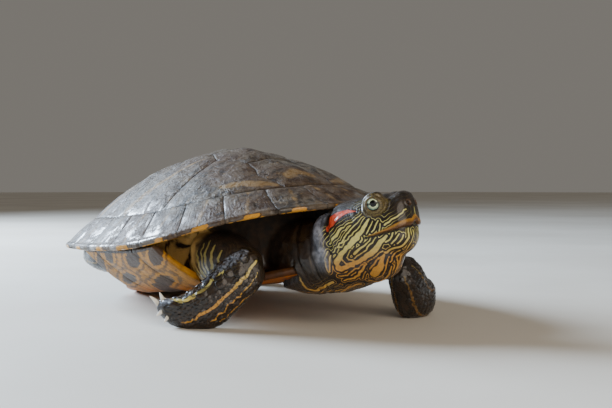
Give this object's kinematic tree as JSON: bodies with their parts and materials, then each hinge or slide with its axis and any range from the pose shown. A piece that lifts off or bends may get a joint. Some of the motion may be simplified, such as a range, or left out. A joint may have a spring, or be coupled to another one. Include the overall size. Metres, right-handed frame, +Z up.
{
  "type": "red-eared slider turtle",
  "caption": "A life-size still model of an adult red-eared slider, front raised on its forelegs, head up and turned a little to its left",
  "frame": {"origin": "on the ground, at the middle of the whole animal's footprint box", "axes": "+Z up, the body points along -Y, +X is the animal's left"},
  "size_m": [0.1522, 0.2354, 0.0818],
  "materials": {
    "carapace": "olive grey-brown horn with streaks, worn satin, yellow along the rim",
    "plastron": "orange-yellow horn with dark blotches and seams",
    "skin": "dark olive scaly skin with fine yellow stripes, a red patch behind each eye",
    "eye": "wet glossy eyeball, pale green iris crossed by a dark bar",
    "claw": "pale translucent horn"
  },
  "bodies": {
    "root": {"marginal_left_1": "carapace", "marginal_left_2": "carapace", "marginal_left_3": "carapace", "marginal_left_4": "carapace", "marginal_left_5": "carapace", "marginal_left_6": "carapace", "marginal_left_7": "carapace", "marginal_left_8": "carapace", "marginal_left_9": "carapace", "marginal_left_10": "carapace", "marginal_left_11": "carapace", "marginal_left_12": "carapace", "marginal_right_1": "carapace", "marginal_right_2": "carapace", "marginal_right_3": "carapace", "marginal_right_4": "carapace", "marginal_right_5": "carapace", "marginal_right_6": "carapace", "marginal_right_7": "carapace", "marginal_right_8": "carapace", "marginal_right_9": "carapace", "marginal_right_10": "carapace", "marginal_right_11": "carapace", "marginal_right_12": "carapace", "nuchal": "carapace", "vertebral_1": "carapace", "vertebral_2": "carapace", "vertebral_3": "carapace", "vertebral_4": "carapace", "vertebral_5": "carapace", "costal_left_1": "carapace", "costal_left_2": "carapace", "costal_left_3": "carapace", "costal_left_4": "carapace", "costal_right_1": "carapace", "costal_right_2": "carapace", "costal_right_3": "carapace", "costal_right_4": "carapace", "gular_left": "plastron", "humeral_left": "plastron", "pectoral_left": "plastron", "abdominal_left": "plastron", "femoral_left": "plastron", "anal_left": "plastron", "gular_right": "plastron", "humeral_right": "plastron", "pectoral_right": "plastron", "abdominal_right": "plastron", "femoral_right": "plastron", "anal_right": "plastron", "trunk": "skin", "head": "skin", "eye_left": "eye", "eye_right": "eye", "neck": "skin", "foreleg_right": "skin", "foreleg_left": "skin", "hindleg_right": "skin", "hindleg_left": "skin", "tail": "skin"}
  },
  "joints": []
}
